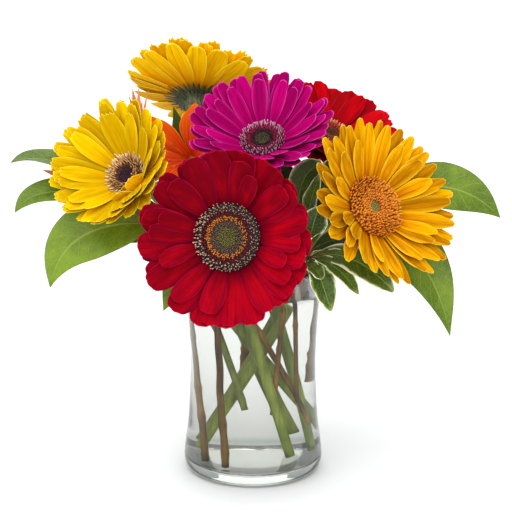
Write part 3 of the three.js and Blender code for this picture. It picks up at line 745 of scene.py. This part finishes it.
# the bed that the florets stand on: a low dome, dished in the middle
eyeBed = {"height": 2.6, "dome": 0.9, "dish": 1.8, "dishShare": 0.3, "fall": 1.6, "bottom": -2.4}


def eyeHeight(r, radius):
    share = r / radius
    dome = eyeBed["dome"] * math.sin(math.pi * min(1, share * 0.9))
    dish = eyeBed["dish"] * math.exp(-((share / eyeBed["dishShare"]) ** 2))
    return eyeBed["height"] + dome - dish - eyeBed["fall"] * share**4


def makeEye(name, flower):
    look = eyes[name]
    radius = flower["eyeRadius"]
    draw = random.Random(flower["seed"] + 5)
    bed = bmesh.new()
    bedTop = [(r, eyeHeight(r, radius)) for r in (radius * i / 10 for i in range(11))]
    turnOnLathe(bed, [*bedTop, (radius * 0.8, eyeBed["bottom"]), (0, eyeBed["bottom"])], 40)
    bedPattern = bpy.data.meshes.new("bedPattern")
    bed.to_mesh(bedPattern)
    bed.free()
    bm = bmesh.new()
    riseLayer = bm.verts.layers.float.new("rise")
    colourLayer = bm.verts.layers.float_color.new("floretColour")
    bm.from_mesh(bedPattern)
    bpy.data.meshes.remove(bedPattern)
    for vert in bm.verts:
        vert[colourLayer] = (*tint(*look["bed"]), 1)
    for kind, (inner, outer), count, (halfWidth, tall), low, high, slant in look["zones"]:
        foot, tip = Vector(tint(*low)), Vector(tint(*high))
        for i in range(count):
            r = math.sqrt(inner**2 + (outer**2 - inner**2) * (i + 0.5) / count)
            r += draw.uniform(-0.25, 0.25)
            angle = i * goldenAngle + draw.uniform(-0.06, 0.06)
            lean = math.radians(slant + draw.uniform(-9, 9))
            grow = draw.uniform(0.8, 1.15)
            place = (
                Matrix.Rotation(angle, 4, "Z")
                @ Matrix.Translation((r, 0, eyeHeight(min(r, radius), radius) - 0.5))
                @ Matrix.Rotation(lean, 4, "Y")
                @ Matrix.Rotation(draw.uniform(-0.5, 0.5), 4, "Z")
                @ Matrix.Diagonal((halfWidth, halfWidth, tall * grow, 1))
            )
            start = len(bm.verts)
            bm.from_mesh(patterns[kind])
            bm.verts.ensure_lookup_table()
            fresh = bm.verts[start:]
            bmesh.ops.transform(bm, matrix=place, verts=fresh)
            glow = draw.uniform(0.75, 1.2)
            for vert in fresh:
                share = vert[riseLayer] ** (4 if kind == "pin" else 1.5)
                vert[colourLayer] = (*(foot.lerp(tip, share) * glow), 1)
    bmesh.ops.transform(bm, matrix=headFrame(flower), verts=bm.verts)
    makePiece(bm, name + "Eye", [floretMaterial], [name + "_eye"])


def floretFinish():
    material, tree, shader = newMaterial("floret", 0.6, Specular_IOR_Level=0.35)
    paint = layerOf(tree, "floretColour", "Color")
    grain = speckle(tree, 1400)
    colour = mixed(tree, fromTo(tree, grain, 0.35, 0.7, (0, 0.35)), paint, (30, 14, 8), "MULTIPLY")
    tree.links.new(colour, shader.inputs["Base Color"])
    giveRelief(tree, shader, grain, 0.4, 0.15)
    return material


floretMaterial = floretFinish()

# The green cups with their bracts. A row has its count, the radius and height that it starts at, its
# length, and its slope in degrees.
calyx = {
    "depth": 19,
    "radius": 13,
    "brim": -3.4,
    "rows": [
        (24, 8.6, -15.5, 8, 66), (28, 11.4, -12.2, 8.5, 56), (30, 12.7, -8.8, 9, 44),
        (34, 13, -5.4, 14.5, 21),
    ],
    "bractWidth": 2.3,
    "bractThickness": 0.35,
}


def makeCalyxAndStem(name, flower):
    place = headFrame(flower)
    depth, brim = calyx["depth"], calyx["brim"]
    top = min(flower["eyeRadius"] - 3, calyx["radius"])
    thin = stems[name]["radius"] + 0.3
    draw = random.Random(flower["seed"] + 9)
    bm = bmesh.new()
    bm.loops.layers.uv.new("UVMap")
    cup = smoothProfile([(thin, -depth), (top * 0.7, -depth + 5), (top, -depth + 11), (top - 0.4, brim)])
    turnOnLathe(bm, [(0, -depth), *cup, (0, brim)], 32)
    bmesh.ops.transform(bm, matrix=place, verts=bm.verts)
    for face in bm.faces:
        face.material_index = 2
    for row, (count, startRadius, startHeight, length, steep) in enumerate(calyx["rows"]):
        slope = math.radians(steep)
        for i in range(count):
            angle = 2 * math.pi * (i + 0.5 * (row % 2) + draw.uniform(-0.2, 0.2)) / count
            turn = place @ Matrix.Rotation(angle, 4, "Z")
            made = bmesh.ops.create_grid(bm, x_segments=2, y_segments=5, size=1)["verts"]
            reach, spread = length * draw.uniform(0.85, 1.15), draw.uniform(-0.08, 0.1)
            for vert in made:
                x, s = vert.co.x, (vert.co.y + 1) / 2
                half = calyx["bractWidth"] / 2 * math.sin(math.pi * (0.22 + 0.78 * s)) ** 0.8 * x
                out = startRadius * top / calyx["radius"] - 1 + reach * s * math.cos(slope + spread)
                lift = startHeight - 0.6 - 0.5 * abs(x)
                lift += reach * s * math.sin(slope + spread) * (1 - 0.45 * s)
                vert.co = turn @ Vector((out, half, lift))
            faces = {f for v in made for f in v.link_faces}
            for face in faces:
                face.material_index = 2
            bmesh.ops.solidify(bm, geom=list(faces), thickness=calyx["bractThickness"])
    upper = [*flower["via"], place @ Vector((0, 0, -depth - 9)), place @ Vector((0, 0, 4 - depth))]
    growStem(bm, name, upper)
    makePiece(
        bm, name + "Stem", [stemMaterials["green"], stemMaterials["cut"], stemMaterials["calyx"]],
        [name + "_stem"],
    )


# leaves: the half width of each kind from root to tip

def arch(s):
    return max(0.0, math.sin(math.pi * s))


leafShapes = {
    "salal": lambda s: arch(s**0.68) ** 0.8 * (1 - 0.5 * s**9),
    "pittosporum": lambda s: (0.12 + 0.88 * arch((s * 0.94) ** 1.25) ** 0.75) * (1 - 0.75 * s**12),
    "tepal": lambda s: 0.3 + 0.7 * arch(min(1, 0.93 * s**1.5)),
}
leafBuild = {"across": 10, "along": 22, "thickness": 0.5, "fold": 14, "waves": 3}


def addLeaf(bm, layers, look, kind, tone):
    # a leaf along a curve of base, middle control and tip, its upper face towards look["faces"]
    base, middle, tip = (Vector(p) for p in look["path"])
    handles = (base.lerp(middle, 2 / 3), tip.lerp(middle, 2 / 3))
    facing = Vector(look["faces"]).normalized()
    fold = math.radians(leafBuild["fold"])
    wave, roll = look.get("wave", 0), look.get("roll", 0)
    quilting, loose = look.get("quilt", 0), 1 if kind == "salal" else 0.4
    rows = leafBuild["along"]
    spine = geometry.interpolate_bezier(base, *handles, tip, rows + 1)
    made = bmesh.ops.create_grid(
        bm, x_segments=leafBuild["across"], y_segments=rows, size=1, calc_uvs=True
    )["verts"]
    for vert in made:
        x, s = vert.co.x, (vert.co.y + 1) / 2
        i = round(s * rows)
        along = (spine[min(i + 1, rows)] - spine[max(i - 1, 0)]).normalized()
        turn = Quaternion(along, roll * s)
        side = turn @ along.cross(facing).normalized()
        up = turn @ along.cross(facing).cross(along).normalized()
        half = look["width"] / 2 * leafShapes[kind](s) * x
        phase = 0.9 if x > 0 else 2.6
        ripple = wave * x * x * math.sin(2 * math.pi * leafBuild["waves"] * s + phase)
        quilt = quilting * math.sin(math.pi * abs(x)) * abs(math.sin(math.pi * (8 * s - 1.6 * abs(x))))
        drift = 0.7 * noise.noise(Vector((x * 1.5, s * 4, tone * 40))) * x * x * loose
        lift = abs(half) * math.sin(fold) + ripple + quilt + drift
        vert.co = spine[i] + side * half * math.cos(fold) + up * lift
        vert[layers["tone"]] = tone
        vert[layers["shade"]] = look.get("shade", 0)


def leaf(path, faces, width, **more):
    # more: start or at, the point or the number of the rail's point that its stalk springs from; roll,
    # wave and shade, how far the leaf is darkened as painted shade
    return {"path": path, "faces": faces, "width": width, **more}


def leafLayers(bm):
    bm.loops.layers.uv.new("UVMap")
    return {name: bm.verts.layers.float.new(name) for name in ("tone", "shade")}


def leafFinish(name, deep, bright, vein, roughness, rim=None):
    # green mottled from deep to bright, a pale midrib, side veins and a fine net between them; the edge
    # is dark, or cream on leaves with a rim
    material, tree, shader = newMaterial(
        name, roughness, Subsurface_Weight=0.05, Subsurface_Scale=0.001, Specular_IOR_Level=0.3
    )
    across, along, aside, tone = bladeSpots(tree)
    mottle = fromTo(tree, speckle(tree, 38, detail=6, roughness=0.6), 0.3, 0.75, (0, 0.75))
    colour = ramp(tree, sums(tree, "MULTIPLY_ADD", tone, 0.3, mottle), [(0.0, deep), (1.0, bright)])
    cells = {"Vector": objectSpot(tree), "Scale": 420, "Randomness": 1}
    net = addNode(tree, "ShaderNodeTexVoronoi", cells, feature="DISTANCE_TO_EDGE").outputs["Distance"]
    net = fromTo(tree, net, 0.0, 0.14, (1, 0))
    lanes = sums(tree, "SUBTRACT", times(tree, along, 8.0), times(tree, aside, 1.6))
    lane = fromTo(tree, sums(tree, "FRACT", lanes), 0.0, 0.09, (1, 0))
    rib = fromTo(tree, aside, 0.015, 0.06, (1, 0))
    lines = sums(tree, "MAXIMUM", rib, times(tree, lane, fromTo(tree, aside, 0.98, 0.5, (0, 0.7))))
    colour = mixed(tree, times(tree, net, 0.22), colour, vein)
    colour = mixed(tree, times(tree, lines, 0.7), colour, vein)
    if rim:
        edgeNoise = streaks(tree, across, along, tone, 5, 9, 4)
        ragged = sums(tree, "MULTIPLY_ADD", edgeNoise, 0.5, aside)
        tipward = sums(tree, "MULTIPLY_ADD", edgeNoise, 0.24, times(tree, along, 0.96))
        ragged = sums(tree, "MAXIMUM", ragged, tipward)
        pale = tuple((a + 2 * b) / 3 for a, b in zip(rim, bright))
        colour = mixed(tree, fromTo(tree, ragged, 0.98, 1.06), colour, pale)
        colour = mixed(tree, fromTo(tree, ragged, 1.11, 1.15), colour, rim)
    else:
        colour = mixed(tree, fromTo(tree, aside, 0.95, 0.99, (0, 0.55)), colour, deep)
    # painted shade: leaves deep in the bunch are darkened by their shade, all but the very edge
    shade = times(tree, layerOf(tree, "shade"), fromTo(tree, aside, 1.0, 0.9))
    colour = mixed(tree, shade, colour, (18, 30, 8))
    tree.links.new(colour, shader.inputs["Base Color"])
    relief = sums(tree, "MULTIPLY_ADD", net, -0.25, times(tree, lines, -1.0))
    giveRelief(tree, shader, relief, 0.6, 0.3)
    return material


leafFinishes = {
    "salal": [
        leafFinish("salalLeaf", (52, 80, 6), (118, 146, 26), (144, 164, 62), 0.42),
        leafFinish("salalLeafBack", (84, 112, 36), (126, 148, 60), (150, 168, 90), 0.6),
    ],
    "pittosporum": [
        leafFinish("variegatedLeaf", (30, 52, 6), (82, 112, 20), (142, 166, 74), 0.42, (240, 238, 204)),
        leafFinish(
            "variegatedLeafBack", (90, 118, 66), (130, 152, 94), (156, 174, 120), 0.55, (230, 230, 196),
        ),
    ],
    "lance": [
        leafFinish("lanceLeaf", (52, 84, 22), (88, 124, 40), (110, 144, 60), 0.45),
        leafFinish("lanceLeafBack", (90, 120, 56), (120, 148, 80), (140, 160, 96), 0.55),
    ],
}

salal = {
    "salalLeft": {
        "rail": [(-52, 8, 178), (-74, 6, 200), (-98, 1, 214)],
        "leaves": [
            leaf([(-103, 10, 216), (-158, 16, 238), (-175, 1, 231)], (0.1, -0.3, 0.95), 31,
                 at=2, roll=0.2),
            leaf([(-101, 4, 204), (-160, 0, 219), (-171, -15, 198)], (0.05, -0.45, 0.85), 26,
                 at=2, roll=-0.1),
        ],
    },
    "salalLow": {
        "rail": [(-36, -36, 172), (-60, -30, 192)],
        "leaves": [
            leaf([(-72, -27, 193), (-138, -18, 194), (-145, -36, 148)], (0.1, -0.86, 0.5), 45,
                 at=1, roll=0.1),
            leaf([(-62, -16, 188), (-85, -13, 186), (-106, -10, 176)], (0, -0.7, 0.7), 25,
                 at=1, shade=0.2),
        ],
    },
    "salalFront": {
        "rail": [(-23, -37, 166), (-30, -50, 170)],
        "leaves": [
            leaf([(-34, -54, 170), (-52, -58, 166), (-63, -61, 138)], (-0.2, -0.95, 0.1), 26, at=1),
        ],
    },
    "salalRight": {
        "rail": [(53, 8, 174), (82, 4, 194), (100, 4, 206)],
        "leaves": [
            leaf([(106, 4, 212), (153, 8, 220), (181, 10, 188)], (-0.1, -0.9, 0.45), 36,
                 at=2, roll=0.05),
            leaf([(84, -12, 184), (128, -22, 178), (142, -34, 111)], (0.35, -0.92, 0.3), 44,
                 at=1, roll=-0.1),
            leaf([(50, 4, 181), (37, -4, 202), (30, -10, 230)], (-0.1, -0.95, 0.3), 34, at=0, shade=0.7),
            leaf([(49, 11, 181), (27, 12, 205), (18, 11, 236)], (-0.1, -0.95, 0.3), 30,
                 at=0, shade=0.75),
            leaf([(57, 4, 182), (61, -2, 204), (58, -9, 232)], (0.1, -0.95, 0.3), 34, at=0, shade=0.75),
            leaf([(90, 12, 199), (112, 34, 212), (122, 52, 192)], (0.5, 0.1, 0.85), 34, at=1),
        ],
    },
    "salalBack": {
        "rail": [(4, 52, 178), (2, 66, 206)],
        "leaves": [
            leaf([(12, 60, 184), (52, 84, 204), (86, 96, 184)], (0.2, 0.5, 0.9), 42, at=0),
            leaf([(-6, 60, 184), (-52, 80, 206), (-88, 88, 186)], (-0.2, 0.5, 0.9), 42, at=0),
            leaf([(0, 72, 208), (-14, 108, 222), (-12, 124, 190)], (0, 0.6, 0.8), 42, at=1),
            leaf([(4, 64, 214), (24, 74, 236), (38, 98, 236)], (0.2, 0.3, 0.9), 36, at=1),
        ],
    },
}

pittosporum = {
    "pittosporumLow": {
        "rail": [(30, -32, 160), (38, -41, 171)],
        "leaves": [
            leaf([(40, -43, 170), (47, -56, 166), (55, -54, 136)], (0.4, -0.85, 0.3), 20, wave=1),
            leaf([(38, -45, 170), (42, -55, 169), (49, -60, 161)], (0.2, -0.5, 0.8), 13, wave=1),
            leaf([(42, -43, 172), (58, -54, 174), (74, -60, 150)], (0.1, -0.5, 0.8), 15, wave=0.8),
            leaf([(43, -41, 173), (72, -50, 182), (99, -54, 150)], (0.1, -0.75, 0.6), 24, wave=1),
            leaf([(42, -38, 176), (60, -37, 190), (84, -33, 180)], (0, -0.7, 0.7), 22,
                 wave=1, shade=0.5),
            leaf([(36, -46, 174), (36, -55, 184), (30, -57, 195)], (0.1, -0.95, 0.3), 13, wave=0.8),
        ],
    },
    "pittosporumHigh": {
        "rail": [(30, -28, 168), (37, -34, 186)],
        "leaves": [
            leaf([(40, -40, 187), (42, -53, 197), (46, -52, 212)], (0.1, -0.95, 0.4), 20, wave=1),
            leaf([(37, -38, 191), (38, -46, 208), (47, -42, 232)], (-0.6, -0.75, 0.25), 13,
                 wave=1, shade=0.2),
            leaf([(41, -31, 193), (47, -28, 221), (64, -20, 241)], (0.1, -0.9, 0.4), 21,
                 wave=0.8, shade=0.4),
            leaf([(33, -31, 197), (29, -27, 229), (49, -25, 237)], (0, -0.9, 0.45), 22,
                 wave=0.6, shade=0.35),
        ],
    },
}


def addStalk(bm, start, path, radius):
    base, middle, tip = (Vector(p) for p in path)
    into = base.lerp(middle, 0.3)
    sweep(bm, smoothRail([start, base, into], 4), lambda s: radius * (1 - 0.55 * s), 8)


def makeBranch(name, look, kind, thinTo, stalkShare):
    draw = random.Random(name)
    leaves = bmesh.new()
    layers = leafLayers(leaves)
    for one in look["leaves"]:
        one.setdefault("quilt", 0.35 if kind == "salal" else 0.1)
        addLeaf(leaves, layers, one, kind, draw.random())
    makePiece(
        leaves, name + "Leaves", leafFinishes[kind], [name],
        thickness=leafBuild["thickness"], levels=1,
    )
    wood = bmesh.new()
    growStem(wood, name, look["rail"], thinTo, knots=7, sides=12)
    radius = stems[name]["radius"] * stalkShare
    for one in look["leaves"]:
        addStalk(wood, Vector(look["rail"][one.get("at", -1)]), one["path"], radius)
    wooden = [stemMaterials["woody"], stemMaterials["cut"]]
    makePiece(wood, name + "Wood", wooden, [name])


# alstroemeria: one open bloom, two closed ones, and two lance leaves

alstroemeria = {
    "umbel": (-74, 18, 204),
    "rail": [(-44, 15, 172), (-74, 18, 204)],
    "blooms": [
        # spread: how far it opens, in degrees; lengths and slim: shares of the tepals' full measures;
        # cup: how long the green cup below the tepals is
        {"name": "bloomRight", "centre": (-44, 16, 230), "facing": (-0.35, -0.85, 0.38),
         "turn": 1.36, "spread": 44, "lengths": (0.94, 1, 0.8, 0.7, 0.56, 0.56), "slim": 1.2,
         "stamens": 5, "cup": 2.4},
        {"name": "bloomLeft", "centre": (-113, 29, 208), "facing": (-0.95, 0.1, 0.16),
         "turn": 0.5, "spread": 7, "lengths": (1, 1, 1, 1, 1, 1), "slim": 0.5,
         "stamens": 0, "cup": 8},
        {"name": "bloomTop", "centre": (-82, 19, 241), "facing": (-0.06, 0.02, 0.98),
         "turn": 0.1, "spread": 1, "lengths": (1, 0.8, 0.9, 1, 0.8, 0.9), "slim": 0.4,
         "stamens": 0, "cup": 8},
    ],
    "lances": [
        leaf([(-59, 20, 192), (-47, 26, 232), (-58, 21, 269)], (0.1, -0.9, 0.4), 22,
             start=(-58, 17, 188), shade=0.35),
        leaf([(-68, 21, 199), (-84, 36, 214), (-102, 48, 206)], (-0.2, 0.3, 0.9), 12,
             start=(-66, 17, 196)),
    ],
}
# widths: of the outer and the inner three
tepalBuild = {"across": 8, "along": 14, "length": 46, "widths": (19, 13), "thickness": 0.5}


def tepalFinish(name, root, middle, tip, streak, edge):
    material, tree, shader = newMaterial(
        name, 0.55, Subsurface_Weight=0.12, Subsurface_Scale=0.0015, Specular_IOR_Level=0.15
    )
    across, along, aside, tone = bladeSpots(tree)
    fibre = streaks(tree, across, along, tone, 22, 1.2)
    colour = ramp(tree, along, [(0.05, root), (0.5, middle), (0.97, tip)])
    reach = fromTo(tree, along, 0.85, 0.2, (0.25, 0.85))
    colour = mixed(tree, times(tree, fromTo(tree, fibre, 0.4, 0.6), reach), colour, streak)
    colour = mixed(tree, fromTo(tree, aside, 0.86, 0.98, (0, 0.6)), colour, edge)
    tree.links.new(colour, shader.inputs["Base Color"])
    giveRelief(tree, shader, fibre, 0.5, 0.3)
    return material


tepalMaterials = {
    "open": [
        tepalFinish(
            "orangeTepal", (224, 60, 0), (255, 100, 4), (255, 116, 10), (206, 40, 0), (255, 160, 50),
        ),
        tepalFinish(
            "orangeTepalBack", (236, 84, 6), (244, 100, 14), (220, 96, 20), (220, 66, 6), (250, 150, 70),
        ),
    ],
    "closed": [
        tepalFinish(
            "salmonTepal", (240, 124, 60), (246, 156, 104), (212, 146, 98), (230, 120, 66),
            (252, 196, 150),
        ),
        tepalFinish(
            "salmonTepalBack", (240, 134, 76), (246, 166, 118), (208, 144, 98), (232, 128, 76),
            (252, 202, 158),
        ),
    ],
}


def makeStamens(bloom):
    # thin threads that lean out towards thicker tips
    bm = bmesh.new()
    for i in range(bloom["stamens"]):
        a = bloom["turn"] + 1.1 + i * 0.62
        rail = []
        for s in (0.04, 0.3, 0.55, 0.75, 0.86, 0.93, 1):
            out = 1 + 7 * s * s
            rail.append(Vector((1.4 * math.cos(a) * out, 1.4 * math.sin(a) * out, 24 * s)))
        sweep(bm, rail, lambda s: 0.4 if s < 0.7 else 1.0 if s < 0.95 else 0.5, 8)
    bmesh.ops.transform(bm, matrix=headFrame(bloom), verts=bm.verts)
    node = "alstroemeria_" + bloom["name"]
    makePiece(bm, "alstroemeriaStamens", [stamenMaterial], [node])


stamenMaterial = stemFinish("stamen", (196, 60, 20), (240, 110, 40), 0.6, (1, 1, 0.3), 0.2)


def makeBloom(bloom):
    bm = bmesh.new()
    bm.loops.layers.uv.new("UVMap")
    toneLayer = bm.verts.layers.float.new("tone")
    draw = random.Random(bloom["name"])
    for i in range(6):
        outer = i % 2 == 0
        lean = math.radians(bloom["spread"] + (4 if outer else 0))
        length = tepalBuild["length"] * (1 if outer else 0.96) * bloom["lengths"][i]
        width = tepalBuild["widths"][i % 2] * bloom["slim"]
        turn = Matrix.Rotation(bloom["turn"] + i * math.pi / 3, 3, "Z")
        tone = draw.random()
        made = bmesh.ops.create_grid(
            bm, x_segments=tepalBuild["across"], y_segments=tepalBuild["along"], size=1, calc_uvs=True
        )["verts"]
        for vert in made:
            x, s = vert.co.x, (vert.co.y + 1) / 2
            # the tepals of a closed bloom run to a point
            pointed = 1 if bloom["stamens"] else 1 - 0.8 * s**3
            half = width / 2 * leafShapes["tepal"](s) * x * pointed
            reach = s - 0.1 * abs(x) ** 2 * s**4
            out = 1.6 + length * (reach * math.sin(lean) + 0.1 * reach**3)
            up = length * reach * (math.cos(lean) - 0.05 * reach)
            ridge = 0.4 * math.cos(2 * math.pi * x) * math.sin(math.pi * s)
            vert.co = turn @ Vector((out - 0.03 * half**2 + ridge, -half, up))
            vert[toneLayer] = tone
    bmesh.ops.transform(bm, matrix=headFrame(bloom), verts=bm.verts)
    if bloom["stamens"]:
        makeStamens(bloom)
    node = "alstroemeria_" + bloom["name"]
    makePiece(
        bm, "alstroemeria" + bloom["name"][0].upper() + bloom["name"][1:],
        tepalMaterials["open" if bloom["stamens"] else "closed"],
        [node], thickness=tepalBuild["thickness"], levels=1,
    )


def makeAlstroemeriaStem():
    bm = bmesh.new()
    growStem(bm, "alstroemeria", alstroemeria["rail"], 1.0, knots=3, sides=12)
    top = Vector(alstroemeria["umbel"])
    for bloom in alstroemeria["blooms"]:
        base, away = Vector(bloom["centre"]), Vector(bloom["facing"]).normalized()
        rail = smoothRail([top, base - away * 8, base - away * 0.3], 6)
        sweep(bm, rail, lambda s: 1.2 + 1.6 * max(0, s - 0.6), 10)
        cupRail = [base + away * (h * bloom["cup"] - 0.4) for h in (0, 0.25, 0.45, 0.7, 1)]
        widest = 0.7 + 0.13 * bloom["cup"]
        sweep(bm, cupRail, lambda s: 2 + widest * math.sin(math.pi * min(1, s + 0.15) * 0.6), 12)
    for one in alstroemeria["lances"]:
        addStalk(bm, Vector(one["start"]), one["path"], 1)
    makePiece(
        bm, "alstroemeriaStem", [stemMaterials["alstroemeria"], stemMaterials["cut"]],
        ["alstroemeria_stem"],
    )
    leaves = bmesh.new()
    layers = leafLayers(leaves)
    for i, one in enumerate(alstroemeria["lances"]):
        addLeaf(leaves, layers, one, "salal", 0.3 + 0.3 * i)
    makePiece(
        leaves, "alstroemeriaLances", leafFinishes["lance"],
        ["alstroemeria_stem"], thickness=leafBuild["thickness"], levels=1,
    )


# the whole bunch

makeCamera()
makeStudio()
print("studio ready")
makeVase()
print("vase and water made")
for name, flower in gerberas.items():
    makePetals(name, flower)
    makeEye(name, flower)
    makeCalyxAndStem(name, flower)
    print("gerbera made:", name)
for name, look in salal.items():
    makeBranch(name, look, "salal", 0.55, 0.5)
for name, look in pittosporum.items():
    makeBranch(name, look, "pittosporum", 0.75, 0.5)
print("leafy branches made")
makeAlstroemeriaStem()
for bloom in alstroemeria["blooms"]:
    makeBloom(bloom)
print("alstroemeria made")

for pattern in patterns.values():
    bpy.data.meshes.remove(pattern)
